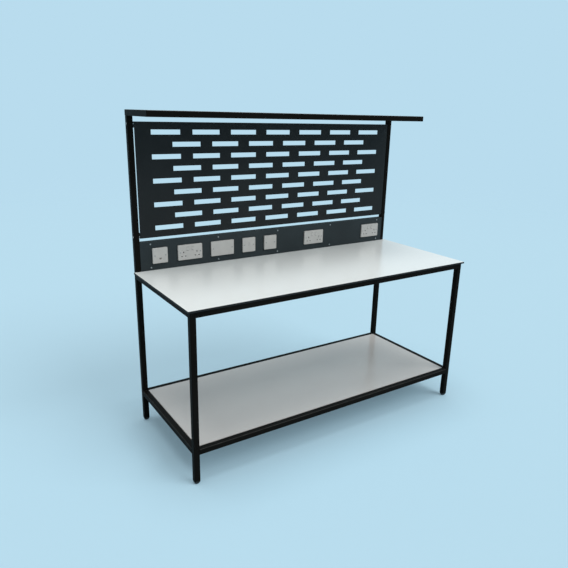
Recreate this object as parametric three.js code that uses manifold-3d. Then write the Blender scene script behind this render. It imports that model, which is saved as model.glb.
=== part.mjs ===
// Laboratory bench with a slotted back panel, a strip of socket outlets and a top shelf.
// Units are millimetres. X runs along the bench, Y from front to back and Z up.
// The origin is on the floor, under the middle of the bench's plan.

import * as THREE from 'three';
import { mergeGeometries, mergeVertices } from 'three/addons/utils/BufferGeometryUtils.js';
import Module from 'manifold-3d';

const wasm = await Module();
wasm.setup();

// Worktop
const worktopLength = 1800;
const worktopDepth = 740;
const worktopThickness = 10;
const worktopHeight = 900;
const worktopChamfer = 1;
const sideOverhang = 12;
const frontOverhang = 9;
const postNotchClearance = 1;

// Square tube of the frame
const tubeSize = 30;
const tubeWall = 2;
const tubeCorner = 3;
const mitreGap = 0.3;

// Domed feet
const footFlange = 2;
const footDome = 15;
const footPlugDepth = 25;
const footPlugClearance = 0.3;
const footPadShare = 0.6;
const footRoundShare = 0.75;

// Lower shelf and the ledges that carry a board inside a frame of rails
const lowerRailHeight = 160;
const boardThickness = 18;
const boardGap = 2;
const ledgeWidth = 20;
const ledgeThickness = 3;

// Socket strip
const stripSheet = 2;
const stripEndLap = 2;
const stripLeftScrew = 58;
const stripRightScrew = 45;
const stripScrewColumns = 5;
const stripScrewRadius = 2.25;

// Slotted panel
const cableGap = 20;
const panelHeight = 597;
const panelSheet = 2;
const panelReturn = 20;
const panelTab = 30;
const panelSideGap = 4;
const panelBend = 2;
const slotLength = 160;
const slotHeight = 25;
const slotPitch = 229.5;
const slotRowPitch = 62;
const slotEndMargin = 60;
const slotRowMargin = 30;
const spacerRadius = 6;
const spacerBore = 3.3;
const spacerInset = 10;

// Top shelf
const topGap = 27;
const topShelfDepth = 310;

// Moulded wall plates
const plateHeight = 86;
const singlePlateWidth = 86;
const doublePlateWidth = 146;
const plateDepth = 9;
const plateWall = 2.5;
const plateCorner = 4;
const plateEdge = 2;
const singleScrewInset = 12.85;
const doubleScrewInset = 12.7;
const plateScrewRadius = 2;
const screwHeadRadius = 3.6;
const screwBossRadius = 4.2;

// Steel boxes behind the plates
const boxInset = 5.5;
const boxDepth = 25;
const boxSheet = 1.2;
const boxRoom = 12.5;
const boxBearing = 3;
const boxCorner = 3;
const lugReach = 10;
const lugHeight = 9;
const lugHoleRadius = 1.7;
const entryRadius = 9;

// Switched socket outlets
const outletOffset = 40;
const earthRise = 1;
const pinDrop = 22.2;
const pinSpacing = 22.2;
const earthSlotWidth = 4.8;
const earthSlotHeight = 8.8;
const pinSlotWidth = 7.2;
const pinSlotHeight = 4.8;
const pinChamberDepth = 20;
const baseDepth = 25.5;
const baseCorner = 3;
const baseClearance = 0.3;
const lugClearance = 1;

// Switch rockers
const rockerOffset = 15;
const rockerRise = 20;
const rockerWidth = 11.4;
const rockerHeight = 19;
const rockerTilt = 5;
const rockerPivotDepth = 6;
const rockerProud = 0.6;
const rockerTail = 4;
const rockerTailHeight = 10;
const rockerTaper = 1;
const rockerSideGap = 0.4;
const rockerEndGap = 1.1;
const rockerFloorGap = 1.5;
const trunnionRadius = 1.6;
const trunnionLength = 2.2;
const trunnionClearance = 0.25;

// Data outlet
const jackDrop = 17;
const jackNoseWidth = 14;
const jackNoseHeight = 11;
const jackNoseGap = 0.2;
const jackNoseSetback = 0.5;
const jackBodyRim = 4;
const jackBodyDepth = 20;
const portWidth = 11.8;
const portHeight = 6.6;
const portLatchWidth = 6;
const portLatchDepth = 1.6;
const portDepth = 14;

// Fused connection unit
const carrierRise = 4;
const carrierWidth = 10.4;
const carrierHeight = 22.4;
const carrierGap = 0.3;
const carrierFlange = 2;
const carrierFlangeThickness = 1.5;
const carrierBodyDepth = 12;
const carrierSlotWidth = 5;
const carrierSlotHeight = 1.4;
const carrierSlotDepth = 1.5;

// Places of the plates along the strip: five from its left end, one from its middle, one from its right end
const dataPlatePlace = 108;
const leftSocketPlace = 284;
const doubleBlankPlace = 486;
const spurPlace = 661;
const singleBlankPlace = 810;
const middleSocketPlace = 276;
const rightSocketPlace = 112;

// Facets on quarter rounds and on round holes
const cornerSteps = 1;
const edgeSteps = 2;
const roundSides = 12;
const footSides = 24;
const footRings = 4;

// Places worked out from the sizes above
const boreCorner = Math.max(tubeCorner - tubeWall, tubeWall / 4);
const frameLength = worktopLength - 2 * sideOverhang;
const frontFace = -worktopDepth / 2 + frontOverhang;
const backFace = worktopDepth / 2;
const postFace = backFace - tubeSize;
const innerHalf = frameLength / 2 - tubeSize;
const legFoot = footFlange + footDome;
const railTop = worktopHeight - worktopThickness;
const boxHeight = plateHeight - 2 * boxInset;
const stripHeight = boxHeight + 2 * boxRoom + 2 * tubeSize;
const stripMiddle = worktopHeight + stripHeight / 2;
const panelBottom = worktopHeight + stripHeight + cableGap;
const topShelfBottom = panelBottom + panelHeight + topGap;
const spacerHeights = [panelBottom + spacerInset, panelBottom + panelHeight - spacerInset];
const spacerLine = postFace + panelReturn / 2;
const plateInside = plateDepth - plateWall;
const cutoutInset = boxInset + boxSheet + boxBearing;
const cutoutHeight = plateHeight - 2 * cutoutInset;
const rockerPivot = plateDepth - rockerPivotDepth;

// Colours and finishes
const finishes = {
  blackTube: { color: 0x1a1b1c, roughness: 0.5, metalness: 0.2 },
  charcoalSheet: { color: 0x24292c, roughness: 0.6, metalness: 0.2 },
  whiteLaminate: { color: 0xe2e6e6, roughness: 0.35, metalness: 0 },
  greyBoard: { color: 0xb9bcbb, roughness: 0.55, metalness: 0 },
  whitePlastic: { color: 0xd9d8d2, roughness: 0.4, metalness: 0 },
  darkPlastic: { color: 0x262524, roughness: 0.55, metalness: 0 },
  blackPlastic: { color: 0x121212, roughness: 0.6, metalness: 0 },
  zincSteel: { color: 0xa9adb0, roughness: 0.4, metalness: 0.8 },
};

const bench = new THREE.Group();

function addPiece(parent, name, geometry, finish, x = 0, y = 0, z = 0) {
  const mesh = new THREE.Mesh(geometry, new THREE.MeshStandardMaterial(finishes[finish]));
  mesh.name = name;
  mesh.position.set(x, y, z);
  parent.add(mesh);
  return mesh;
}

// Joining and cutting

function toSolid(geometry) {
  const bare = geometry.clone();
  bare.deleteAttribute('normal');
  bare.deleteAttribute('uv');
  const merged = mergeVertices(bare);
  const vertProperties = merged.attributes.position.array;
  const triVerts = Uint32Array.from(merged.index.array);
  return new wasm.Manifold(new wasm.Mesh({ numProp: 3, vertProperties, triVerts }));
}

function toGeometry(solid) {
  const mesh = solid.getMesh();
  const geometry = new THREE.BufferGeometry();
  geometry.setAttribute('position', new THREE.BufferAttribute(mesh.vertProperties, 3));
  geometry.setIndex(new THREE.BufferAttribute(mesh.triVerts, 1));
  geometry.computeVertexNormals();
  return geometry;
}

function join(first, ...others) {
  const solid = others.reduce((sum, other) => sum.add(toSolid(other)), toSolid(first));
  return toGeometry(solid);
}

function cut(first, ...tools) {
  const solid = tools.reduce((rest, tool) => rest.subtract(toSolid(tool)), toSolid(first));
  return toGeometry(solid);
}

// Basic forms

function block(width, depth, height, x = 0, y = 0, z = 0) {
  return new THREE.BoxGeometry(width, depth, height).translate(x, y, z);
}

function roundedRectangle(width, height, radius, form = new THREE.Shape()) {
  const x = width / 2 - radius;
  const y = height / 2 - radius;
  form.absarc(x, y, radius, 0, Math.PI / 2);
  form.absarc(-x, y, radius, Math.PI / 2, Math.PI);
  form.absarc(-x, -y, radius, Math.PI, 1.5 * Math.PI);
  form.absarc(x, -y, radius, 1.5 * Math.PI, 2 * Math.PI);
  form.closePath();
  return form;
}

function prism(shape, depth) {
  return new THREE.ExtrudeGeometry(shape, { depth, curveSegments: cornerSteps, bevelEnabled: false });
}

function rodAlongX(radius, length) {
  return new THREE.CylinderGeometry(radius, radius, length, roundSides).rotateZ(Math.PI / 2);
}

function rodAlongZ(radius, length) {
  return new THREE.CylinderGeometry(radius, radius, length, roundSides).rotateX(Math.PI / 2);
}

// Square tube with rounded corners, open at both ends, running up from its lower end
function tube(length) {
  const section = roundedRectangle(tubeSize, tubeSize, tubeCorner);
  const bore = tubeSize - 2 * tubeWall;
  section.holes.push(roundedRectangle(bore, bore, boreCorner, new THREE.Path()));
  return prism(section, length);
}

// Tube with both ends cut at 45 degrees, long on the side away from the frame's inside
function mitredTube(length) {
  const geometry = tube(length);
  const points = geometry.attributes.position;
  for (let i = 0; i < points.count; i += 1) {
    const cutBack = points.getX(i) + tubeSize / 2 + mitreGap;
    const end = points.getZ(i);
    points.setZ(i, end > length / 2 ? end - cutBack : end + cutBack);
  }
  return geometry;
}

function tubeAlongX(parent, name, geometry, x, y, z) {
  const mesh = addPiece(parent, name, geometry, 'blackTube', x, y, z);
  mesh.rotation.y = Math.PI / 2;
}

function tubeAlongY(parent, name, geometry, x, y, z) {
  const mesh = addPiece(parent, name, geometry, 'blackTube', x, y, z);
  mesh.rotation.x = -Math.PI / 2;
}

// Moulded or folded cover: its front lies at the given depth, and it is open behind
function hollowCover(width, height, depth, corner, edge, wall) {
  const outline = roundedRectangle(width, height, corner);
  const rounded = new THREE.ExtrudeGeometry(outline, {
    depth,
    curveSegments: cornerSteps,
    bevelThickness: edge,
    bevelSize: edge,
    bevelOffset: -edge,
    bevelSegments: edgeSteps,
  }).translate(0, 0, -edge);
  const behind = block(2 * width, 2 * height, depth, 0, 0, -depth / 2);
  const inside = roundedRectangle(width - 2 * wall, height - 2 * wall, Math.max(corner - wall, wall / 2));
  return cut(rounded, behind, prism(inside, depth - wall));
}

// Frame

// Foot: a dome that turns from the tube's square into a rounder flat pad, with a plug that goes up
// into the tube
function domedFoot() {
  const sides = roundedRectangle(tubeSize, tubeSize, tubeCorner).getSpacedPoints(footSides);
  const outline = new THREE.Shape(sides.slice(0, footSides));
  const dome = new THREE.ExtrudeGeometry(outline, { depth: footDome, steps: footRings, bevelEnabled: false });
  const points = dome.attributes.position;
  for (let i = 0; i < points.count; i += 1) {
    const down = 1 - points.getZ(i) / footDome;
    const narrowing = Math.sqrt(1 - (1 - footPadShare ** 2) * down ** 2);
    const reach = Math.hypot(points.getX(i), points.getY(i));
    const rounding = 1 + footRoundShare * down * (tubeSize / 2 / reach - 1);
    const scale = narrowing * rounding;
    points.setXY(i, scale * points.getX(i), scale * points.getY(i));
  }
  const flange = prism(outline, footFlange);
  const plugSize = tubeSize - 2 * tubeWall - 2 * footPlugClearance;
  const plug = prism(roundedRectangle(plugSize, plugSize, boreCorner), footPlugDepth + footFlange);
  return join(dome, flange.translate(0, 0, footDome), plug.translate(0, 0, footDome));
}

// Back post, drilled for the bolts that hold the slotted panel
function backPost() {
  const post = tube(topShelfBottom - legFoot);
  const setback = spacerLine - (backFace - tubeSize / 2);
  const holes = spacerHeights.map((height) =>
    rodAlongX(spacerBore, 2 * tubeSize).translate(0, setback, height - legFoot));
  return cut(post, ...holes);
}

function addFrame() {
  const half = tubeSize / 2;
  const columns = [['left', -1], ['right', 1]];
  const span = postFace - (frontFace + tubeSize);
  const levels = [['top', railTop - half], ['lower', lowerRailHeight + half]];
  for (const [side, sign] of columns) {
    const x = sign * (frameLength / 2 - half);
    const front = frontFace + half;
    const back = backFace - half;
    addPiece(bench, `front_${side}_leg`, tube(railTop - legFoot), 'blackTube', x, front, legFoot);
    addPiece(bench, `back_${side}_post`, backPost(), 'blackTube', x, back, legFoot);
    addPiece(bench, `foot_front_${side}`, domedFoot(), 'blackPlastic', x, front);
    addPiece(bench, `foot_back_${side}`, domedFoot(), 'blackPlastic', x, back);
    for (const [level, z] of levels) {
      tubeAlongY(bench, `${level}_${side}_rail`, tube(span), x, frontFace + tubeSize, z);
    }
  }
  for (const [level, z] of levels) {
    tubeAlongX(bench, `${level}_front_rail`, tube(2 * innerHalf), -innerHalf, frontFace + half, z);
    tubeAlongX(bench, `${level}_back_rail`, tube(2 * innerHalf), -innerHalf, backFace - half, z);
  }
}

// Worktop: a thin board with a chamfered edge, notched at the back for the posts
function worktop() {
  const side = worktopLength / 2;
  const notchSide = innerHalf - postNotchClearance;
  const notchFront = postFace - postNotchClearance;
  const outline = new THREE.Shape([
    new THREE.Vector2(-side, -worktopDepth / 2),
    new THREE.Vector2(side, -worktopDepth / 2),
    new THREE.Vector2(side, notchFront),
    new THREE.Vector2(notchSide, notchFront),
    new THREE.Vector2(notchSide, backFace),
    new THREE.Vector2(-notchSide, backFace),
    new THREE.Vector2(-notchSide, notchFront),
    new THREE.Vector2(-side, notchFront),
  ]);
  return new THREE.ExtrudeGeometry(outline, {
    depth: worktopThickness - 2 * worktopChamfer,
    bevelThickness: worktopChamfer,
    bevelSize: worktopChamfer,
    bevelOffset: -worktopChamfer,
    bevelSegments: 1,
  }).translate(0, 0, worktopChamfer);
}

// Board set flush into a frame of tubes, on angle ledges along its front and back
function addInlaidBoard(name, front, back, frameBottom) {
  const frameTop = frameBottom + tubeSize;
  const boardBottom = frameTop - boardThickness;
  const length = 2 * innerHalf;
  const middle = (front + back) / 2;
  const board = block(length - 2 * boardGap, back - front - 2 * boardGap, boardThickness);
  addPiece(bench, `${name}_board`, board, 'greyBoard', 0, middle, frameTop - boardThickness / 2);

  const drop = boardBottom - frameBottom;
  const angle = new THREE.Shape([
    new THREE.Vector2(0, 0),
    new THREE.Vector2(0, -drop),
    new THREE.Vector2(ledgeThickness, -drop),
    new THREE.Vector2(ledgeThickness, -ledgeThickness),
    new THREE.Vector2(ledgeWidth, -ledgeThickness),
    new THREE.Vector2(ledgeWidth, 0),
  ]);
  const ledges = [['front', front, 1], ['back', back, -1]];
  for (const [edge, y, sign] of ledges) {
    const ledge = addPiece(bench, `${name}_${edge}_ledge`, prism(angle, length), 'blackTube');
    ledge.rotation.set(Math.PI / 2, 0, sign * Math.PI / 2, 'ZYX');
    ledge.position.set(-sign * innerHalf, y, boardBottom);
  }
}

// Top shelf: a mitred frame that stands on the back posts
function addTopShelf() {
  const half = tubeSize / 2;
  const front = backFace - topShelfDepth;
  const z = topShelfBottom + half;
  const x = frameLength / 2;
  const square = Math.PI / 2;
  const sides = [
    { name: 'front_rail', length: frameLength, place: [-x, front + half, z], turn: [square, square, 0] },
    { name: 'back_rail', length: frameLength, place: [-x, backFace - half, z], turn: [-square, square, 0] },
    { name: 'left_arm', length: topShelfDepth, place: [-x + half, front, z], turn: [-square, 0, 0] },
    { name: 'right_arm', length: topShelfDepth, place: [x - half, front, z], turn: [-square, 0, Math.PI] },
  ];
  for (const { name, length, place, turn } of sides) {
    const side = addPiece(bench, `top_shelf_${name}`, mitredTube(length), 'blackTube', ...place);
    side.rotation.set(...turn);
  }
  addInlaidBoard('top_shelf', front + tubeSize, postFace, topShelfBottom);
}

// Slotted panel: a sheet with staggered rows of slots, folded back along its top and bottom edges
// A short tab at each corner is held to the post on a spacer

function slotCentres(width) {
  const columns = Math.floor((width - 2 * slotEndMargin - slotLength) / slotPitch) + 1;
  const rows = Math.floor((panelHeight - 2 * slotRowMargin - slotHeight) / slotRowPitch) + 1;
  const centres = [];
  for (let row = 0; row < rows; row += 1) {
    const count = row % 2 === 0 ? columns : columns - 1;
    for (let column = 0; column < count; column += 1) {
      const x = (column - (count - 1) / 2) * slotPitch;
      centres.push([x, ((rows - 1) / 2 - row) * slotRowPitch]);
    }
  }
  return centres;
}

function slottedPanel(width) {
  const tray = hollowCover(width, panelHeight, panelReturn, panelBend, panelBend, panelSheet);
  const slots = slotCentres(width).map(([x, y]) => block(slotLength, slotHeight, 2 * panelReturn, x, y));
  const holes = spacerHeights.map((height) =>
    rodAlongX(spacerBore, 2 * width).translate(0, height - panelBottom - panelHeight / 2, panelReturn / 2));
  const openHeight = panelHeight - 2 * panelTab;
  const openSides = [-width / 2, width / 2].map((x) =>
    block(4 * panelSheet, openHeight, 2 * panelReturn, x, 0, -panelSheet));
  return cut(tray, mergeGeometries(slots), ...holes, ...openSides);
}

function addSlottedPanel() {
  const wall = wallGroup(postFace + panelReturn, panelBottom + panelHeight / 2);
  const width = 2 * (innerHalf - panelSideGap);
  addPiece(wall, 'slotted_panel', slottedPanel(width), 'charcoalSheet');
  const spacer = cut(rodAlongX(spacerRadius, panelSideGap), rodAlongX(spacerBore, 2 * panelSideGap));
  const ends = ['lower', 'upper'];
  for (const [side, sign] of [['left', -1], ['right', 1]]) {
    const x = sign * (innerHalf - panelSideGap / 2);
    spacerHeights.forEach((height, i) => {
      addPiece(bench, `panel_spacer_${side}_${ends[i]}`, spacer, 'zincSteel', x, spacerLine, height);
    });
  }
}

// A group on an upright face: its own X runs along the bench, Y up and Z out of the face
function wallGroup(y, z, x = 0) {
  const group = new THREE.Group();
  group.position.set(x, y, z);
  group.rotation.x = Math.PI / 2;
  bench.add(group);
  return group;
}

// Wall plates

function screwPlaces(plateWidth) {
  const inset = plateWidth > singlePlateWidth ? doubleScrewInset : singleScrewInset;
  return [inset - plateWidth / 2, plateWidth / 2 - inset];
}

// Hollow plate with two countersunk screw holes, each in a boss that reaches back to the strip
function plainPlate(width) {
  const cover = hollowCover(width, plateHeight, plateDepth, plateCorner, plateEdge, plateWall);
  const bossLength = plateDepth - plateWall / 2;
  const bosses = screwPlaces(width).map((x) =>
    rodAlongZ(screwBossRadius, bossLength).translate(x, 0, bossLength / 2));
  const holes = screwPlaces(width).flatMap((x) => [
    rodAlongZ(plateScrewRadius, 4 * plateDepth).translate(x, 0, 0),
    countersink().translate(x, 0, plateDepth),
  ]);
  return cut(join(cover, ...bosses), ...holes);
}

// Cone that is as wide as the screw's head half way up
function countersink() {
  const spread = screwHeadRadius - plateScrewRadius;
  const wide = screwHeadRadius + spread;
  return new THREE.CylinderGeometry(wide, plateScrewRadius, 2 * spread, roundSides).rotateX(Math.PI / 2);
}

// Pressed steel box, open at the strip, with two lugs for the plate's screws and a wiring hole below
function steelBox(plateWidth) {
  const width = plateWidth - 2 * boxInset;
  const outer = roundedRectangle(width, boxHeight, boxCorner);
  const inner = roundedRectangle(width - 2 * boxSheet, boxHeight - 2 * boxSheet, boxCorner - boxSheet);
  const shell = cut(prism(outer, boxDepth), prism(inner, boxDepth).translate(0, 0, boxSheet));
  const lugs = screwPlaces(plateWidth).map((x) => {
    const reach = width / 2 - Math.abs(x) + lugReach / 2;
    const middle = Math.sign(x) * (width / 2 - boxSheet / 2 - reach / 2);
    return block(reach, lugHeight, boxSheet, middle, 0, boxDepth - boxSheet / 2);
  });
  const screwHole = rodAlongZ(lugHoleRadius, boxDepth);
  const holes = screwPlaces(plateWidth).map((x) => screwHole.clone().translate(x, 0, boxDepth));
  const entry = new THREE.CylinderGeometry(entryRadius, entryRadius, boxHeight, roundSides);
  return cut(join(shell, ...lugs), ...holes, entry.translate(0, -boxHeight / 2, boxDepth / 2));
}

// Pin slots of a double socket, reaching back from the plate's front by the given depth
function pinSlots(depth) {
  return [-outletOffset, outletOffset].flatMap((x) => [
    block(earthSlotWidth, earthSlotHeight, 2 * depth, x, earthRise, plateDepth),
    ...[-pinSpacing / 2, pinSpacing / 2].map((side) =>
      block(pinSlotWidth, pinSlotHeight, 2 * depth, x + side, earthRise - pinDrop, plateDepth)),
  ]);
}

// Openings of both rockers, reaching back from the plate's front by the given depth
function rockerOpenings(depth) {
  const width = rockerWidth + 2 * rockerSideGap;
  const height = rockerHeight + 2 * rockerEndGap;
  return [-rockerOffset, rockerOffset].map((x) =>
    block(width, height, 2 * depth, x, rockerRise, plateDepth));
}

function socketPlate() {
  return cut(plainPlate(doublePlateWidth), ...pinSlots(plateDepth), ...rockerOpenings(plateDepth));
}

// Insulating base behind a socket plate, with pin chambers and the bearings of the rockers
function socketBase() {
  const width = doublePlateWidth - 2 * cutoutInset - 2 * baseClearance;
  const height = cutoutHeight - 2 * baseClearance;
  const outline = roundedRectangle(width, height, baseCorner);
  const body = prism(outline, baseDepth).translate(0, 0, plateInside - baseDepth);
  const notches = screwPlaces(doublePlateWidth).map((x) => {
    const reach = width / 2 - Math.abs(x) + lugReach / 2 + lugClearance;
    return block(2 * reach, lugHeight + 2 * lugClearance, 4 * baseDepth, Math.sign(x) * width / 2);
  });
  const pockets = rockerOpenings(rockerPivotDepth + rockerTail + rockerFloorGap);
  const bearings = [-rockerOffset, rockerOffset].flatMap((x) => bearing(x));
  return cut(body, ...notches, ...pockets, ...bearings, ...pinSlots(pinChamberDepth));
}

// Bearing slot of a rocker: round behind the trunnions and open to the plate in front
function bearing(x) {
  const length = rockerWidth + 2 * rockerSideGap + 2 * (trunnionLength + trunnionClearance);
  const radius = trunnionRadius + trunnionClearance;
  const reach = plateInside - rockerPivot;
  return [
    rodAlongX(radius, length).translate(x, rockerRise, rockerPivot),
    block(length, 2 * radius, 2 * reach, x, rockerRise, rockerPivot + reach),
  ];
}

// Rocker: a dished face in two flats, tapering back to trunnions on its sides
function rocker() {
  const half = rockerHeight / 2;
  const face = rockerPivotDepth + rockerProud;
  const rise = half * Math.tan(THREE.MathUtils.degToRad(rockerTilt));
  const profile = new THREE.Shape([
    new THREE.Vector2(face, 0),
    new THREE.Vector2(face + rise, half),
    new THREE.Vector2(0, half - rockerTaper),
    new THREE.Vector2(-rockerTail, rockerTailHeight / 2),
    new THREE.Vector2(-rockerTail, -rockerTailHeight / 2),
    new THREE.Vector2(0, rockerTaper - half),
    new THREE.Vector2(face + rise, -half),
  ]);
  const body = prism(profile, rockerWidth).translate(0, 0, -rockerWidth / 2).rotateY(-Math.PI / 2);
  return join(body, rodAlongX(trunnionRadius, rockerWidth + 2 * rockerSideGap + 2 * trunnionLength));
}

function addRockers(parent, name) {
  [-rockerOffset, rockerOffset].forEach((x, i) => {
    const piece = addPiece(parent, `${name}_rocker_${i + 1}`, rocker(), 'whitePlastic');
    piece.position.set(x, rockerRise, rockerPivot);
    piece.rotation.x = THREE.MathUtils.degToRad(-rockerTilt);
  });
}

// Data outlet: a plate with a window, and a jack whose nose stands in it

function dataPlate() {
  const width = jackNoseWidth + 2 * jackNoseGap;
  const height = jackNoseHeight + 2 * jackNoseGap;
  return cut(plainPlate(singlePlateWidth), block(width, height, 4 * plateDepth, 0, -jackDrop));
}

function dataJack() {
  const noseFront = plateDepth - jackNoseSetback;
  const nose = block(jackNoseWidth, jackNoseHeight, plateDepth, 0, -jackDrop, noseFront - plateDepth / 2);
  const bodyWidth = jackNoseWidth + 2 * jackBodyRim;
  const bodyHeight = jackNoseHeight + 2 * jackBodyRim;
  const body = block(bodyWidth, bodyHeight, jackBodyDepth, 0, -jackDrop, plateInside - jackBodyDepth / 2);
  const port = block(portWidth, portHeight, 2 * portDepth, 0, -jackDrop, noseFront);
  const portFloor = -jackDrop - portHeight / 2;
  const latch = block(portLatchWidth, 2 * portLatchDepth, 2 * portDepth, 0, portFloor, noseFront);
  return cut(join(nose, body), port, latch);
}

// Fused connection unit: a plate with a fuse carrier

function spurPlate() {
  const width = carrierWidth + 2 * carrierGap;
  const height = carrierHeight + 2 * carrierGap;
  return cut(plainPlate(singlePlateWidth), block(width, height, 4 * plateDepth, 0, carrierRise));
}

function fuseCarrier() {
  const front = block(carrierWidth, carrierHeight, plateDepth, 0, carrierRise, plateDepth / 2);
  const body = block(carrierWidth, carrierHeight, carrierBodyDepth, 0, carrierRise, -carrierBodyDepth / 2);
  const flangeWidth = carrierWidth + 2 * (carrierGap + carrierFlange);
  const flangeHeight = carrierHeight + 2 * (carrierGap + carrierFlange);
  const flangeMiddle = plateInside - carrierFlangeThickness / 2;
  const flange = block(flangeWidth, flangeHeight, carrierFlangeThickness, 0, carrierRise, flangeMiddle);
  const slot = block(carrierSlotWidth, carrierSlotHeight, 2 * carrierSlotDepth, 0, carrierRise, plateDepth);
  return cut(join(front, body, flange), slot);
}

// Socket strip: a flat cover on two cross tubes, with the wall plates and their boxes

function stripPlates() {
  const end = innerHalf + stripEndLap;
  return [
    { name: 'data', width: singlePlateWidth, x: -end + dataPlatePlace, make: dataPlate },
    { name: 'socket_left', width: doublePlateWidth, x: -end + leftSocketPlace, make: socketPlate },
    { name: 'blank_double', width: doublePlateWidth, x: -end + doubleBlankPlace },
    { name: 'spur', width: singlePlateWidth, x: -end + spurPlace, make: spurPlate },
    { name: 'blank_single', width: singlePlateWidth, x: -end + singleBlankPlace },
    { name: 'socket_middle', width: doublePlateWidth, x: middleSocketPlace, make: socketPlate },
    { name: 'socket_right', width: doublePlateWidth, x: end - rightSocketPlace, make: socketPlate },
  ];
}

// Flat cover with a cut-out behind each plate and two rows of screw holes, one over each cross tube
function stripCover() {
  const half = innerHalf + stripEndLap;
  const sheet = block(2 * half, stripHeight, stripSheet, 0, 0, stripSheet / 2);
  const cutouts = stripPlates().map(({ width, x }) =>
    block(width - 2 * cutoutInset, cutoutHeight, 4 * stripSheet, x));
  const row = stripHeight / 2 - tubeSize / 2;
  const pitch = (2 * half - stripLeftScrew - stripRightScrew) / (stripScrewColumns - 1);
  const holes = [];
  for (let column = 0; column < stripScrewColumns; column += 1) {
    const x = column * pitch - half + stripLeftScrew;
    for (const y of [-row, row]) holes.push(rodAlongZ(stripScrewRadius, 4 * stripSheet).translate(x, y, 0));
  }
  return cut(sheet, mergeGeometries(cutouts), mergeGeometries(holes));
}

function addSocketStrip() {
  const half = tubeSize / 2;
  const y = backFace - half;
  const stripTop = worktopHeight + stripHeight;
  tubeAlongX(bench, 'strip_lower_tube', tube(2 * innerHalf), -innerHalf, y, worktopHeight + half);
  tubeAlongX(bench, 'strip_upper_tube', tube(2 * innerHalf), -innerHalf, y, stripTop - half);
  addPiece(wallGroup(postFace, stripMiddle), 'strip_cover', stripCover(), 'charcoalSheet');
  for (const { name, width, x, make } of stripPlates()) {
    const wall = wallGroup(postFace - stripSheet, stripMiddle, x);
    addPiece(wall, `${name}_plate`, make ? make() : plainPlate(width), 'whitePlastic');
    addPiece(wall, `${name}_box`, steelBox(width), 'zincSteel', 0, 0, -stripSheet - boxDepth);
    if (make === socketPlate) {
      addPiece(wall, `${name}_base`, socketBase(), 'darkPlastic');
      addRockers(wall, name);
    }
    if (make === dataPlate) addPiece(wall, 'data_jack', dataJack(), 'whitePlastic');
    if (make === spurPlate) addPiece(wall, 'fuse_carrier', fuseCarrier(), 'whitePlastic');
  }
}

addFrame();
addPiece(bench, 'worktop', worktop(), 'whiteLaminate', 0, 0, railTop);
addInlaidBoard('lower_shelf', frontFace + tubeSize, postFace, lowerRailHeight);
addSocketStrip();
addSlottedPanel();
addTopShelf();

export default bench;
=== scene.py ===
"""Looks for a laboratory bench with a slotted back panel, a socket strip and a top shelf."""
import math

import bmesh
import bpy
from mathutils import Color, Matrix, Vector


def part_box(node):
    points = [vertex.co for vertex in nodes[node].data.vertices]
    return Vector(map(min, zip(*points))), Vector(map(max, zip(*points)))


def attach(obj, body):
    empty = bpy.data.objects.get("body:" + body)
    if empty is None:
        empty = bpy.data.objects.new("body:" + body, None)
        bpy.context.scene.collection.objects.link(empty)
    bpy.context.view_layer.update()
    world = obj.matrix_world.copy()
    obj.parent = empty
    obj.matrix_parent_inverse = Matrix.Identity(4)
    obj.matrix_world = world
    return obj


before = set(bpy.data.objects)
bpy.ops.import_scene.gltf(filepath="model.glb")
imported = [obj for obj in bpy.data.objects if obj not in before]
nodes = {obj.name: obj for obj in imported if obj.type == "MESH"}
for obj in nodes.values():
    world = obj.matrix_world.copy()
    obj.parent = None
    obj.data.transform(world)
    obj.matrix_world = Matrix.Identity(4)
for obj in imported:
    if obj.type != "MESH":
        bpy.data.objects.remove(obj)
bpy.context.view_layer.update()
scene = bpy.context.scene
scene.view_settings.view_transform = "Standard"

MM = 0.001
BODY = "bench"
FRONT = (0, -1, 0)


def middle(name):
    """Centre of a node's box."""
    low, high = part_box(name)
    return (low + high) / 2


# Colours are written as they look on a screen, from 0 to 255

def shade(red, green, blue):
    return (*Color((red / 255, green / 255, blue / 255)).from_srgb_to_scene_linear(), 1.0)


def scaled(colour, amount):
    return tuple(min(1.0, part * amount) for part in colour[:3]) + (1.0,)


WHITE = shade(255, 255, 255)
PALE_BLUE = shade(185, 220, 238)
FLOOR_BLUE = shade(168, 200, 215)
BLACK_COAT = shade(23, 22, 20)
# Pale grey of the highlight painted on the upper edges of powder coat
EDGE_HIGHLIGHT = shade(100, 100, 98)
PANEL_COAT = shade(34, 37, 38)
STRIP_COAT = shade(50, 58, 61)
WHITE_FACE = shade(240, 246, 245)
DARK_CORE = shade(24, 24, 25)
GREY_BOARD = shade(200, 197, 193)
WHITE_MOULDING = shade(197, 197, 194)
# Whiter than the moulding, as painted light inside the data port
LIGHTENED_LINING = shade(240, 240, 238)
DARK_MOULDING = shade(38, 37, 36)
BLACK_PLASTIC = shade(24, 24, 24)
ZINC = shade(190, 194, 197)
BRIGHT_STEEL = shade(168, 169, 168)
GOLD = shade(222, 204, 166)


# Node graphs of the materials and the sky

NOISE_LOW = 0.3
NOISE_HIGH = 0.7
LEVEL_NORMAL = 0.9
BEVEL_SAMPLES = 4
OCCLUSION_SAMPLES = 8


class Graph:
    """A node tree that is built one node at a time."""

    def __init__(self, tree):
        self.tree = tree

    def feed(self, value, socket):
        """Links a node's output to a socket, or sets the socket to a number or colour."""
        if isinstance(value, bpy.types.NodeSocket):
            self.tree.links.new(value, socket)
        else:
            socket.default_value = value

    def node(self, kind, inputs=None, **settings):
        """A new node with its settings, and with its inputs fed by name or number."""
        made = self.tree.nodes.new(kind)
        for name, value in settings.items():
            setattr(made, name, value)
        for key, value in (inputs or {}).items():
            self.feed(value, made.inputs[key])
        return made

    def maths(self, operation, *values):
        made = self.node("ShaderNodeMath", dict(enumerate(values)), operation=operation)
        return made.outputs["Value"]


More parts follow.
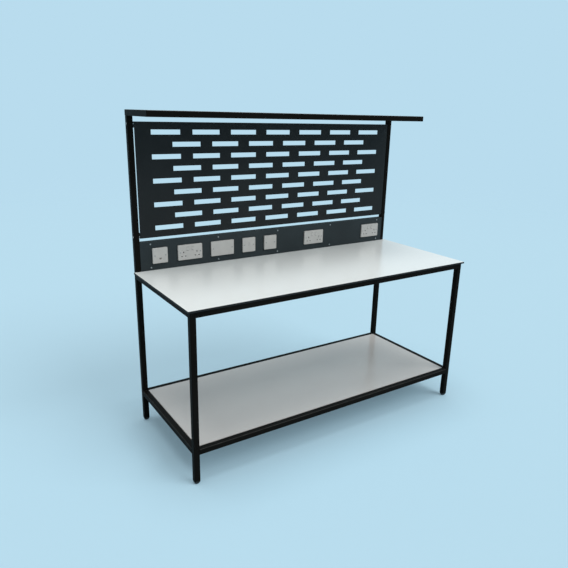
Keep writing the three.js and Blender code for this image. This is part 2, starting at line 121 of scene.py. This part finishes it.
class Look(Graph):
    """A material: the nodes that feed one shader."""

    def __init__(self, name, metallic=0.0, specular=0.5):
        self.material = bpy.data.materials.new(name)
        self.material.use_nodes = True
        super().__init__(self.material.node_tree)
        self.shader = self.tree.nodes["Principled BSDF"]
        self.put("Metallic", metallic)
        self.put("Specular IOR Level", specular)
        self.place = self.node("ShaderNodeTexCoord").outputs["Object"]

    def put(self, name, value):
        """Feeds one of the shader's own sockets."""
        self.feed(value, self.shader.inputs[name])

    def along(self, vector, axis):
        """A vector's coordinate on an axis."""
        return self.node("ShaderNodeSeparateXYZ", {"Vector": vector}).outputs[axis]

    def stretched(self, scale):
        return self.node("ShaderNodeMapping", {"Vector": self.place, "Scale": scale}).outputs["Vector"]

    def noise(self, scale, detail=2.0, roughness=0.5, place=None):
        inputs = {"Scale": scale, "Detail": detail, "Roughness": roughness, "Vector": place or self.place}
        return self.node("ShaderNodeTexNoise", inputs).outputs["Fac"]

    def cells(self, scale):
        """A mosaic with a number from 0 to 1 in each cell."""
        mosaic = self.node("ShaderNodeTexVoronoi", {"Scale": scale, "Vector": self.place})
        return self.node("ShaderNodeSeparateColor", {"Color": mosaic.outputs["Color"]}).outputs["Red"]

    def spread(self, value, low=0.0, high=1.0, start=0.0, end=1.0, **settings):
        """The value's range from low to high, stretched to run from start to end."""
        inputs = {"Value": value, "From Min": low, "From Max": high, "To Min": start, "To Max": end}
        return self.node("ShaderNodeMapRange", inputs, **settings).outputs["Result"]

    def vary(self, noise, start=0.0, end=1.0):
        """A noise's usual range, stretched to run from start to end."""
        return self.spread(noise, NOISE_LOW, NOISE_HIGH, start, end)

    def blend(self, factor, first, second):
        made = self.node("ShaderNodeMix", {"Factor": factor}, data_type="RGBA")
        colours = [socket for socket in made.inputs if socket.type == "RGBA"]
        for socket, value in zip(colours, (first, second)):
            self.feed(value, socket)
        return next(socket for socket in made.outputs if socket.type == "RGBA")

    def tones(self, factor, colour, dark, light):
        """The colour, from its dark multiple to its light one."""
        return self.blend(factor, scaled(colour, dark), scaled(colour, light))

    def level_faces(self):
        """1 on faces that look nearly straight up or down, 0 on the others."""
        normal = self.node("ShaderNodeNewGeometry").outputs["Normal"]
        return self.maths("GREATER_THAN", self.maths("ABSOLUTE", self.along(normal, "Z")), LEVEL_NORMAL)

    def rounded(self, radius):
        """Normals that round the edges over."""
        return self.node("ShaderNodeBevel", {"Radius": radius}, samples=BEVEL_SAMPLES).outputs["Normal"]

    def upper_edges(self, rounded):
        """1 on edges that face up and outwards, which take the painted highlight; 0 on level and upright
        faces.
        """
        rise = self.along(rounded, "Z")
        not_upright = self.spread(rise, low=0.3, high=0.6)
        not_level = self.spread(rise, low=0.97, high=0.85)
        return self.maths("MULTIPLY", not_upright, not_level)

    def painted_hollow_shade(self, colour, shade_colour, reach, amount):
        """The colour, darkened by painted shade in narrow hollows."""
        openness = self.node("ShaderNodeAmbientOcclusion", {"Distance": reach}, samples=OCCLUSION_SAMPLES)
        hollow_shade = self.spread(openness.outputs["AO"], low=0.75, high=0.4, end=amount)
        return self.blend(hollow_shade, colour, shade_colour)

    def bump(self, height, depth, strength, rounded=None):
        inputs = {"Height": height, "Distance": depth, "Strength": strength}
        if rounded:
            inputs["Normal"] = rounded
        self.put("Normal", self.node("ShaderNodeBump", inputs).outputs["Normal"])


# Materials: a larger noise scale is a finer grain

COAT_EDGE = 1.8 * MM
MOULDED_EDGE = 0.8 * MM
JACK_LIP = 1.6 * MM


def powder_coat(name, colour, roughness, specular):
    """Baked powder coat: orange peel, drifts of tone, pale flecks and a painted highlight along upper edges.
    """
    look = Look(name, specular=specular)
    drift = look.spread(look.noise(scale=3.0, detail=4.0), low=0.35, high=0.65)
    tone = look.tones(drift, colour, dark=0.86, light=1.14)
    fleck = look.spread(look.noise(scale=1500.0, detail=1.0), low=0.62, high=0.8, end=0.35)
    flecked = look.blend(fleck, tone, scaled(colour, 2.0))
    rounded = look.rounded(COAT_EDGE)
    # Painted highlight: edges that face up are lightened patchily towards a pale grey, standing in for light
    # catching them
    highlight_patches = look.vary(look.noise(scale=35.0, detail=3.0), start=0.35, end=0.75)
    painted_highlight = look.maths("MULTIPLY", look.upper_edges(rounded), highlight_patches)
    look.put("Base Color", look.blend(painted_highlight, flecked, EDGE_HIGHLIGHT))
    peel = look.noise(scale=620.0)
    dullness = look.spread(drift, start=roughness - 0.05, end=roughness + 0.05)
    look.put("Roughness", look.maths("ADD", look.vary(peel, start=-0.06, end=0.06), dullness))
    look.bump(peel, depth=0.3 * MM, strength=1.0, rounded=rounded)
    return look.material


def worktop_laminate():
    """White compact laminate: a fine satin print on its faces and a dark core at its edges."""
    look = Look("white_laminate", specular=0.26)
    speckle = look.spread(look.noise(scale=900.0, detail=1.0), low=0.4, high=0.6)
    face = look.tones(speckle, WHITE_FACE, dark=0.975, light=1.0)
    core = look.tones(look.noise(scale=380.0), DARK_CORE, dark=0.8, light=1.3)
    level = look.level_faces()
    look.put("Base Color", look.blend(level, core, face))
    wiped = look.vary(look.noise(scale=2.5), start=0.2, end=0.225)
    edge_dullness = look.spread(level, start=0.45, end=0.0)
    look.put("Roughness", look.maths("ADD", wiped, edge_dullness))
    look.bump(look.noise(scale=420.0), depth=0.05 * MM, strength=0.12)
    return look.material


def board_melamine():
    """Light grey melamine: a cloudy print, fine pores and a soft sheen."""
    look = Look("grey_melamine")
    cloud = look.vary(look.noise(scale=5.0, detail=5.0, roughness=0.6))
    grain = look.noise(scale=700.0)
    pores = look.spread(grain, low=0.56, high=0.72, end=0.28)
    tone = look.tones(cloud, GREY_BOARD, dark=0.985, light=1.015)
    look.put("Base Color", look.blend(pores, tone, scaled(GREY_BOARD, 0.7)))
    look.put("Roughness", look.vary(look.noise(scale=11.0, detail=3.0), start=0.21, end=0.24))
    look.bump(grain, depth=0.1 * MM, strength=0.4)
    return look.material


def fine_grain(look, rounded=None):
    """The grain that a mould leaves on white plastic."""
    look.bump(look.noise(scale=1400.0, detail=1.0), depth=0.04 * MM, strength=0.4, rounded=rounded)


def white_moulding():
    """Semi-gloss moulded plastic: a faint unevenness of tone and gloss, and painted shade in its gaps and
    holes.
    """
    look = Look("white_moulding")
    drift = look.vary(look.noise(scale=28.0, detail=3.0))
    tone = look.tones(drift, WHITE_MOULDING, dark=0.96, light=1.02)
    # Painted shade: pin slots and gaps are darkened towards the dark moulding where little light reaches
    look.put("Base Color", look.painted_hollow_shade(tone, DARK_MOULDING, reach=6 * MM, amount=0.95))
    look.put("Roughness", look.vary(look.noise(scale=90.0), start=0.33, end=0.45))
    fine_grain(look, rounded=look.rounded(MOULDED_EDGE))
    return look.material


def jack_moulding(mouth):
    """White outlet nose, painted brighter behind its mouth: painted light that lifts the shade inside the
    port.
    """
    look = Look("jack_moulding")
    drift = look.noise(scale=60.0)
    front = look.tones(drift, WHITE_MOULDING, dark=0.94, light=1.0)
    # Painted light: the lining inside the port is whiter than the nose, to lift its shade
    lit_lining = look.tones(drift, LIGHTENED_LINING, dark=0.95, light=1.0)
    inside = look.maths("GREATER_THAN", look.along(look.place, "Y"), mouth)
    look.put("Base Color", look.blend(inside, front, lit_lining))
    look.put("Roughness", 0.42)
    fine_grain(look)
    return look.material


def dark_moulding(name, colour, grain_scale):
    """Matte dark plastic with a fine moulded grain."""
    look = Look(name)
    drift = look.noise(scale=40.0, detail=3.0)
    look.put("Base Color", look.tones(drift, colour, dark=0.8, light=1.25))
    grain = look.noise(scale=grain_scale)
    look.put("Roughness", look.vary(grain, start=0.48, end=0.64))
    look.bump(grain, depth=0.12 * MM, strength=0.6, rounded=look.rounded(MOULDED_EDGE))
    return look.material


def zinc_plate():
    """Galvanised sheet with a spangle of crystals."""
    look = Look("zinc_plate", metallic=1.0)
    spangle = look.cells(scale=230.0)
    look.put("Base Color", look.tones(spangle, ZINC, dark=0.86, light=1.0))
    look.put("Roughness", look.spread(spangle, start=0.36, end=0.46))
    look.bump(look.noise(scale=500.0), depth=0.04 * MM, strength=0.4)
    return look.material


def bright_steel():
    """Plated screw steel with fine lines that run from front to back."""
    look = Look("bright_steel", metallic=1.0)
    lines = look.noise(scale=2600.0, detail=1.0, place=look.stretched((1.0, 0.2, 1.0)))
    look.put("Base Color", look.tones(lines, BRIGHT_STEEL, dark=0.8, light=1.0))
    look.put("Roughness", look.vary(lines, start=0.34, end=0.48))
    look.bump(lines, depth=0.03 * MM, strength=0.3)
    return look.material


def gold_plate():
    """Thin gold plating, worn unevenly."""
    look = Look("gold_plate", metallic=1.0)
    wear = look.noise(scale=900.0)
    look.put("Base Color", look.tones(wear, GOLD, dark=0.85, light=1.05))
    look.put("Roughness", look.vary(wear, start=0.24, end=0.4))
    return look.material


black_coat = powder_coat("black_powder_coat", BLACK_COAT, roughness=0.42, specular=0.018)
panel_coat = powder_coat("charcoal_powder_coat", PANEL_COAT, roughness=0.5, specular=0.15)
strip_coat = powder_coat("slate_powder_coat", STRIP_COAT, roughness=0.5, specular=0.12)
laminate = worktop_laminate()
melamine = board_melamine()
moulding = white_moulding()
base_moulding = dark_moulding("insulating_moulding", DARK_MOULDING, grain_scale=900.0)
foot_plastic = dark_moulding("foot_plastic", BLACK_PLASTIC, grain_scale=700.0)
zinc = zinc_plate()
steel = bright_steel()
gold = gold_plate()
plate_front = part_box("data_plate")[0].y
jack = jack_moulding(plate_front + JACK_LIP)


def node_material(name):
    if name == "worktop":
        return laminate
    if name == "slotted_panel":
        return panel_coat
    if name == "strip_cover":
        return strip_coat
    if name == "data_jack":
        return jack
    if name.startswith("foot_"):
        return foot_plastic
    if name.endswith("_board"):
        return melamine
    if name.endswith("_base"):
        return base_moulding
    if name.endswith("_box") or name.startswith("panel_spacer"):
        return zinc
    if name.endswith("_plate") or "_rocker_" in name or name == "fuse_carrier":
        return moulding
    return black_coat


for name, obj in nodes.items():
    obj.data.materials.clear()
    obj.data.materials.append(node_material(name))


# Mesh helpers

def mesh_of(name, bm):
    """A mesh with its normals outwards. The bmesh it is made from is freed."""
    bmesh.ops.recalc_face_normals(bm, faces=bm.faces)
    mesh = bpy.data.meshes.new(name)
    bm.to_mesh(mesh)
    bm.free()
    return mesh


def add_object(name, data):
    obj = bpy.data.objects.new(name, data)
    scene.collection.objects.link(obj)
    return obj


def finish_piece(name, bm, material, smooth_angle=35):
    """Makes an object of the bmesh, with smooth shading up to the angle, riding on the bench."""
    mesh = mesh_of(name, bm)
    for polygon in mesh.polygons:
        polygon.use_smooth = True
    mesh.set_sharp_from_angle(angle=math.radians(smooth_angle))
    mesh.materials.append(material)
    obj = add_object(name, mesh)
    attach(obj, BODY)


def turned(profile, segments):
    """Closed solid turned about Z from (radius, height) pairs that start and end on the axis."""
    bm = bmesh.new()
    turns = [2 * math.pi * i / segments for i in range(segments)]
    rings = []
    for radius, height in profile:
        if radius == 0:
            rings.append([bm.verts.new((0, 0, height))])
        else:
            rings.append([bm.verts.new((radius * math.cos(a), radius * math.sin(a), height)) for a in turns])
    for low, high in zip(rings, rings[1:]):
        for i in range(segments):
            k = (i + 1) % segments
            if len(low) == 1:
                bm.faces.new((low[0], high[k], high[i]))
            elif len(high) == 1:
                bm.faces.new((low[i], low[k], high[0]))
            else:
                bm.faces.new((low[i], low[k], high[k], high[i]))
    return bm


def dome(radius, base, top, steps):
    """Profile points of a quarter ellipse, from the rim at the base to the axis at the top."""
    turns = [math.pi / 2 * i / steps for i in range(steps)]
    return [(radius * math.cos(a), base + (top - base) * math.sin(a)) for a in turns] + [(0, top)]


def skin(bm, rings):
    """Faces between neighbouring rings, and a cap on each end."""
    sides = len(rings[0])
    for low, high in zip(rings, rings[1:]):
        for i in range(sides):
            k = (i + 1) % sides
            bm.faces.new((low[i], low[k], high[k], high[i]))
    bm.faces.new(rings[0][::-1])
    bm.faces.new(rings[-1])


def groove(length, width, depth, top, turn=0.0):
    """Box that cuts a groove of the given depth into a top face, turned about Z."""
    bm = bmesh.new()
    place = Matrix.Translation((0, 0, top)) @ Matrix.Rotation(turn, 4, "Z")
    bmesh.ops.create_cube(bm, size=1.0, matrix=place @ Matrix.Diagonal((length, width, 2 * depth, 1)))
    return bm


def carved(body, cutters):
    """The body with each cutter taken away, as a mesh."""
    target = add_object("body", mesh_of("body", body))
    tools = [add_object("cutter", mesh_of("cutter", cutter)) for cutter in cutters]
    for tool in tools:
        cut = target.modifiers.new("cut", "BOOLEAN")
        cut.operation = "DIFFERENCE"
        cut.solver = "EXACT"
        cut.object = tool
    shown = target.evaluated_get(bpy.context.evaluated_depsgraph_get())
    result = bpy.data.meshes.new_from_object(shown)
    for obj in (target, *tools):
        bpy.data.objects.remove(obj)
    return result


def facing(place, direction, turn):
    """Matrix that puts a shape at a place, with its own Z along the direction, turned about it."""
    rotation = Vector(direction).to_track_quat("Z", "Y").to_matrix().to_4x4()
    return Matrix.Translation(place) @ rotation @ Matrix.Rotation(turn, 4, "Z")


def add_copy(bm, mesh, matrix):
    """Adds a copy of a mesh to the bmesh, placed by the matrix."""
    count = len(bm.verts)
    bm.from_mesh(mesh)
    bm.verts.ensure_lookup_table()
    bmesh.ops.transform(bm, matrix=matrix, verts=bm.verts[count:])


def repeat(mesh, places):
    bm = bmesh.new()
    for matrix in places:
        add_copy(bm, mesh, matrix)
    return bm


# Screws of the strip's cover: pan heads with a cross recess, in two rows over the cross tubes

HEAD_SEGMENTS = 20
PAN_RADIUS = 4.6 * MM
PAN_RIM = 0.9 * MM
PAN_HEIGHT = 3.0 * MM
PAN_SHANK_RADIUS = 2.0 * MM
PAN_SHANK_LENGTH = 3.0 * MM
CROSS_LENGTH = 4.2 * MM
CROSS_WIDTH = 1.0 * MM
CROSS_DEPTH = 1.5 * MM
STRIP_SCREW_COLUMNS = 5
STRIP_SCREW_LEFT = 58 * MM
STRIP_SCREW_RIGHT = 45 * MM
TURN_BY_COLUMN = 0.7
TURN_BY_ROW = 1.9


def pan_head():
    profile = [
        (0, -PAN_SHANK_LENGTH),
        (PAN_SHANK_RADIUS, -PAN_SHANK_LENGTH),
        (PAN_SHANK_RADIUS, 0),
        (PAN_RADIUS, 0),
        *dome(PAN_RADIUS, PAN_RIM, PAN_HEIGHT, steps=5),
    ]
    cross = [groove(CROSS_LENGTH, CROSS_WIDTH, CROSS_DEPTH, PAN_HEIGHT, turn) for turn in (0, math.pi / 2)]
    return carved(turned(profile, HEAD_SEGMENTS), cross)


def make_strip_screws():
    low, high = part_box("strip_cover")
    first, last = low.x + STRIP_SCREW_LEFT, high.x - STRIP_SCREW_RIGHT
    places = []
    for column in range(STRIP_SCREW_COLUMNS):
        x = first + column * (last - first) / (STRIP_SCREW_COLUMNS - 1)
        for row, tube in enumerate(("strip_lower_tube", "strip_upper_tube")):
            own_turn = TURN_BY_COLUMN * column + TURN_BY_ROW * row
            places.append(facing((x, low.y, middle(tube).z), FRONT, own_turn))
    finish_piece("strip_screws", repeat(pan_head(), places), steel)


make_strip_screws()


# Screws of the wall plates: raised countersunk heads with a slot

RAISED_RADIUS = 3.3 * MM
RAISED_RIM = 0.05 * MM
RAISED_HEIGHT = 0.7 * MM
CONE_TOP = -0.25 * MM
CONE_FOOT = -2.0 * MM
CONE_FOOT_RADIUS = 1.7 * MM
PLATE_SHANK_END = -6.0 * MM
PLATE_SHANK_RADIUS = 1.6 * MM
SLOT_LENGTH = 8.0 * MM
SLOT_WIDTH = 0.9 * MM
SLOT_DEPTH = 0.8 * MM
SINGLE_SCREW_INSET = 12.85 * MM
DOUBLE_SCREW_INSET = 12.7 * MM
WIDEST_SINGLE_PLATE = 100 * MM
TURN_BY_SCREW = 0.35
TURN_BY_SIDE = 0.9


def raised_head():
    profile = [
        (0, PLATE_SHANK_END),
        (PLATE_SHANK_RADIUS, PLATE_SHANK_END),
        (CONE_FOOT_RADIUS, CONE_FOOT),
        (RAISED_RADIUS, CONE_TOP),
        *dome(RAISED_RADIUS, RAISED_RIM, RAISED_HEIGHT, steps=4),
    ]
    slot = groove(SLOT_LENGTH, SLOT_WIDTH, SLOT_DEPTH, RAISED_HEIGHT)
    return carved(turned(profile, HEAD_SEGMENTS), [slot])


def make_plate_screws():
    places = []
    for name in nodes:
        if not name.endswith("_plate"):
            continue
        low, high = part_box(name)
        double = high.x - low.x > WIDEST_SINGLE_PLATE
        inset = DOUBLE_SCREW_INSET if double else SINGLE_SCREW_INSET
        for side, x in enumerate((low.x + inset, high.x - inset)):
            own_turn = TURN_BY_SCREW * len(places) + TURN_BY_SIDE * side
            places.append(facing((x, low.y, middle(name).z), FRONT, own_turn))
    finish_piece("plate_screws", repeat(raised_head(), places), steel)


make_plate_screws()


# Bolts of the slotted panel: a hexagon head outside the post and a nut inside the panel's tab

BOLT_ACROSS_FLATS = 10 * MM
BOLT_HEAD_HEIGHT = 4 * MM
BOLT_HEAD_CHAMFER = 0.5 * MM
NUT_HEIGHT = 6 * MM
NUT_CHAMFER = 0.6 * MM
BOLT_RADIUS = 2.95 * MM
BOLT_LENGTH = 45.6 * MM
BOLT_TIP = 0.6 * MM
WASHER_RADIUS = 6.4 * MM
WASHER_THICKNESS = 1.4 * MM
WASHER_EDGE = 0.3 * MM
PANEL_SHEET = 2 * MM
BOLT_TURN = 0.4


def hexagon(height, chamfer):
    """Bolt head or nut. The bevel round its outer face is twice as wide as it is high."""
    radius = BOLT_ACROSS_FLATS / math.sqrt(3)
    profile = [(0, 0), (radius, 0), (radius, height - chamfer), (radius - 2 * chamfer, height), (0, height)]
    return mesh_of("hexagon", turned(profile, segments=6))


def flat_washer():
    face_radius = WASHER_RADIUS - WASHER_EDGE
    profile = [
        (0, 0),
        (face_radius, 0),
        (WASHER_RADIUS, WASHER_EDGE),
        (WASHER_RADIUS, WASHER_THICKNESS - WASHER_EDGE),
        (face_radius, WASHER_THICKNESS),
        (0, WASHER_THICKNESS),
    ]
    return mesh_of("washer", turned(profile, segments=24))


def bolt_shank():
    profile = [
        (0, 0),
        (BOLT_RADIUS, 0),
        (BOLT_RADIUS, BOLT_LENGTH - BOLT_TIP),
        (BOLT_RADIUS - BOLT_TIP, BOLT_LENGTH),
        (0, BOLT_LENGTH),
    ]
    return mesh_of("shank", turned(profile, segments=16))


def make_panel_bolts():
    head = hexagon(BOLT_HEAD_HEIGHT, BOLT_HEAD_CHAMFER)
    nut = hexagon(NUT_HEIGHT, NUT_CHAMFER)
    washer = flat_washer()
    shank = bolt_shank()
    post_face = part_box("back_right_post")[1].x
    bolts = bmesh.new()
    for name in nodes:
        if not name.startswith("panel_spacer"):
            continue
        low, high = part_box(name)
        centre = middle(name)
        side = math.copysign(1.0, centre.x)
        outside = side * post_face
        inside = centre.x - side * ((high.x - low.x) / 2 + PANEL_SHEET)
        own_turn = BOLT_TURN + centre.z
        for mesh, x, way in (
            (washer, outside, side),
            (head, outside + side * WASHER_THICKNESS, side),
            (shank, outside, -side),
            (washer, inside, -side),
            (nut, inside - side * WASHER_THICKNESS, -side),
        ):
            add_copy(bolts, mesh, facing((x, centre.y, centre.z), (way, 0, 0), own_turn))
    finish_piece("panel_bolts", bolts, steel)


make_panel_bolts()


# Weld beads where the tubes meet

BEAD_RADIUS = 1.9 * MM
BEAD_STEP = 1.6 * MM
BEAD_FEWEST_STEPS = 6
BEAD_SIDES = 8
BEAD_RIPPLE = 0.16
BEAD_RIPPLE_TURN = 2.1
BEAD_END = 0.35
BEAD_TRIM = 4 * MM


def bead(bm, start, end):
    """Rippled bead along a line."""
    start, end = Vector(start), Vector(end)
    along = (end - start).normalized()
    side = along.orthogonal().normalized()
    other = along.cross(side)
    turns = [2 * math.pi * k / BEAD_SIDES for k in range(BEAD_SIDES)]
    steps = max(BEAD_FEWEST_STEPS, int((end - start).length / BEAD_STEP))
    rings = []
    for i in range(steps + 1):
        radius = BEAD_RADIUS * (1.0 + BEAD_RIPPLE * math.sin(BEAD_RIPPLE_TURN * i))
        if i in (0, steps):
            radius *= BEAD_END
        centre = start.lerp(end, i / steps)
        arms = [radius * (math.cos(a) * side + math.sin(a) * other) for a in turns]
        rings.append([bm.verts.new(centre + arm) for arm in arms])
    skin(bm, rings)


def seam_heights(level, low, high):
    """Heights of the beads at a rail's end: the worktop lies on the upper edges of the top rails."""
    return (low.z,) if level == "top" else (low.z, high.z)


def weld_long_rail(bm, level, side):
    low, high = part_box(f"{level}_{side}_rail")
    for x in (low.x, high.x):
        for z in seam_heights(level, low, high):
            bead(bm, (x, low.y + BEAD_TRIM, z), (x, high.y - BEAD_TRIM, z))


def weld_side_rail(bm, level, side):
    low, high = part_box(f"{level}_{side}_rail")
    inside = high.x if side == "left" else low.x
    for y in (low.y, high.y):
        for z in seam_heights(level, low, high):
            bead(bm, (low.x + BEAD_TRIM, y, z), (high.x - BEAD_TRIM, y, z))
        bead(bm, (inside, y, low.z + BEAD_TRIM), (inside, y, high.z - BEAD_TRIM))


def weld_strip_tube(bm, name):
    low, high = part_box(name)
    for x in (low.x, high.x):
        bead(bm, (x, low.y + BEAD_TRIM, high.z), (x, high.y - BEAD_TRIM, high.z))


def make_weld_beads():
    beads = bmesh.new()
    for level in ("top", "lower"):
        for side in ("front", "back"):
            weld_long_rail(beads, level, side)
        for side in ("left", "right"):
            weld_side_rail(beads, level, side)
    for name in ("strip_lower_tube", "strip_upper_tube"):
        weld_strip_tube(beads, name)
    finish_piece("weld_beads", beads, black_coat, smooth_angle=60)


make_weld_beads()


# Contact wires of the data jack, with bends given behind the plate's front and above the port's middle

WIRE_COUNT = 8
WIRE_PITCH = 1.02 * MM
WIRE_HALF_WIDTH = 0.2 * MM
WIRE_HALF_THICKNESS = 0.15 * MM
WIRE_BENDS = ((5.0 * MM, 3.2 * MM), (5.8 * MM, 2.0 * MM), (9.0 * MM, 1.2 * MM), (13.5 * MM, 2.8 * MM))


def make_jack_contacts():
    port = middle("data_jack")
    across, up = WIRE_HALF_WIDTH, WIRE_HALF_THICKNESS
    corners = ((-across, -up), (across, -up), (across, up), (-across, up))
    wires = bmesh.new()
    for i in range(WIRE_COUNT):
        x = port.x + (i - (WIRE_COUNT - 1) / 2) * WIRE_PITCH
        rings = []
        for back, rise in WIRE_BENDS:
            y, z = plate_front + back, port.z + rise
            rings.append([wires.verts.new((x + dx, y, z + dz)) for dx, dz in corners])
        skin(wires, rings)
    finish_piece("jack_contacts", wires, gold)


make_jack_contacts()


# Floor: pale, with the bench's shadow lightened a little, fading into the background far away

FLOOR_GLOW = 0.18
FLOOR_RADIUS = 14.0
FLOOR_SEGMENTS = 96
FADE_START = 3.0
FADE_END = 13.0


def floor_paint():
    look = Look("floor", specular=0.0)
    shown = look.node("ShaderNodeLightPath").outputs["Is Camera Ray"]
    distance = look.node("ShaderNodeVectorMath", {0: look.place}, operation="LENGTH").outputs["Value"]
    fade = look.spread(distance, FADE_START, FADE_END, start=1.0, end=0.0, interpolation_type="SMOOTHSTEP")
    look.put("Base Color", FLOOR_BLUE)
    look.put("Roughness", 0.9)
    look.put("Emission Color", PALE_BLUE)
    look.put("Emission Strength", look.maths("MULTIPLY", shown, FLOOR_GLOW))
    look.put("Alpha", fade)
    return look.material


def make_floor():
    bm = bmesh.new()
    bmesh.ops.create_circle(bm, cap_ends=True, segments=FLOOR_SEGMENTS, radius=FLOOR_RADIUS)
    mesh = mesh_of("floor", bm)
    mesh.materials.append(floor_paint())
    floor = add_object("floor", mesh)


make_floor()


# Light: an even sky, a broad soft lamp overhead and a weaker one from the front right

def make_sky(strength):
    """Even white light. The camera, gloss and glass see the pale blue background instead."""
    world = bpy.data.worlds.new("studio")
    scene.world = world
    world.use_nodes = True
    world.node_tree.nodes.clear()
    sky = Graph(world.node_tree)
    path = sky.node("ShaderNodeLightPath").outputs
    seen = sky.maths("MAXIMUM", path["Is Camera Ray"], path["Is Glossy Ray"])
    shown = sky.maths("MAXIMUM", seen, path["Is Transmission Ray"])
    light = sky.node("ShaderNodeBackground", {"Color": WHITE, "Strength": strength})
    back = sky.node("ShaderNodeBackground", {"Color": PALE_BLUE, "Strength": 1.0})
    mix = sky.node("ShaderNodeMixShader", {0: shown, 1: light.outputs[0], 2: back.outputs[0]})
    sky.node("ShaderNodeOutputWorld", {"Surface": mix.outputs[0]})


def make_lamp(name, direction, strength, spread):
    """Lamp that shines in a direction, from a patch of sky as many degrees wide as its spread."""
    lamp = bpy.data.lights.new(name, "SUN")
    lamp.energy = strength
    lamp.angle = math.radians(spread)
    obj = add_object(name, lamp)
    obj.rotation_mode = "QUATERNION"
    obj.rotation_quaternion = Vector(direction).to_track_quat("-Z", "Y")


make_sky(strength=0.365)
make_lamp("overhead", direction=(0.0, -0.03, -1.0), strength=1.26, spread=38)
make_lamp("front_right", direction=(-0.5, 0.8, -1.0), strength=1.18, spread=38)


# Camera, as solved from the photograph: angles in degrees, its place in metres, the rest in pixels

CAMERA_YAW = 34.046
CAMERA_PITCH = 17.477
CAMERA_ROLL = 1.488
CAMERA_PLACE = (-1.8178, -2.5240, 1.7454)
PICTURE_SIZE = 568
FOCAL_LENGTH = 561.92
LENS_CENTRE_X = 290.99
LENS_CENTRE_Y = 288.13


def make_camera():
    yaw, pitch, roll = (math.radians(angle) for angle in (CAMERA_YAW, CAMERA_PITCH, CAMERA_ROLL))
    forward = Vector((math.sin(yaw) * math.cos(pitch), math.cos(yaw) * math.cos(pitch), -math.sin(pitch)))
    right = Vector((math.cos(yaw), -math.sin(yaw), 0.0))
    up = right.cross(forward)
    rolled_right = math.cos(roll) * right + math.sin(roll) * up
    rolled_up = -math.sin(roll) * right + math.cos(roll) * up
    data = bpy.data.cameras.new("camera")
    data.sensor_fit = "HORIZONTAL"
    data.lens = data.sensor_width * FOCAL_LENGTH / PICTURE_SIZE
    data.shift_x = (PICTURE_SIZE / 2 - LENS_CENTRE_X) / PICTURE_SIZE
    data.shift_y = (LENS_CENTRE_Y - PICTURE_SIZE / 2) / PICTURE_SIZE
    camera = add_object("camera", data)
    turn = Matrix((rolled_right, rolled_up, -forward)).transposed().to_4x4()
    camera.matrix_world = Matrix.Translation(CAMERA_PLACE) @ turn
    scene.camera = camera


make_camera()
